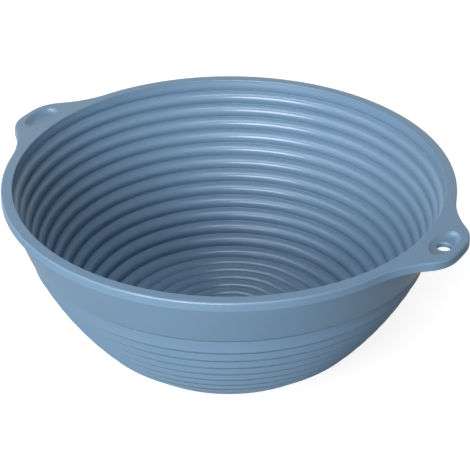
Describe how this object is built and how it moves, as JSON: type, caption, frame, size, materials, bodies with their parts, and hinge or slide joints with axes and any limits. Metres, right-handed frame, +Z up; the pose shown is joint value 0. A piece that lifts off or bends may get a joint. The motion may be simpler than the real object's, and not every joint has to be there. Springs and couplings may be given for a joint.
{
  "type": "silicone proofing basket",
  "caption": "Round silicone proofing basket with half-round rings inside, a stepped outside, a flat rim and ears with a hanging hole; it shapes bread dough as it rises.",
  "frame": {"origin": "centre of the flat underside, on the table", "axes": "+Z up the bowl's axis to the rim, +X from the axis through the ear with the hanging hole"},
  "size_m": [0.2598, 0.2296, 0.091],
  "materials": {
    "silicone": "satin"
  },
  "bodies": {
    "root": {"rim_flange": "silicone", "hanging_ear": "silicone", "thumb_ear": "silicone", "upper_band": "silicone", "shoulder_ring": "silicone", "step_ring_1": "silicone", "step_ring_2": "silicone", "step_ring_3": "silicone", "step_ring_4": "silicone", "step_ring_5": "silicone", "step_ring_6": "silicone", "step_ring_7": "silicone", "foot_ring": "silicone", "floor_disc": "silicone"}
  },
  "joints": []
}
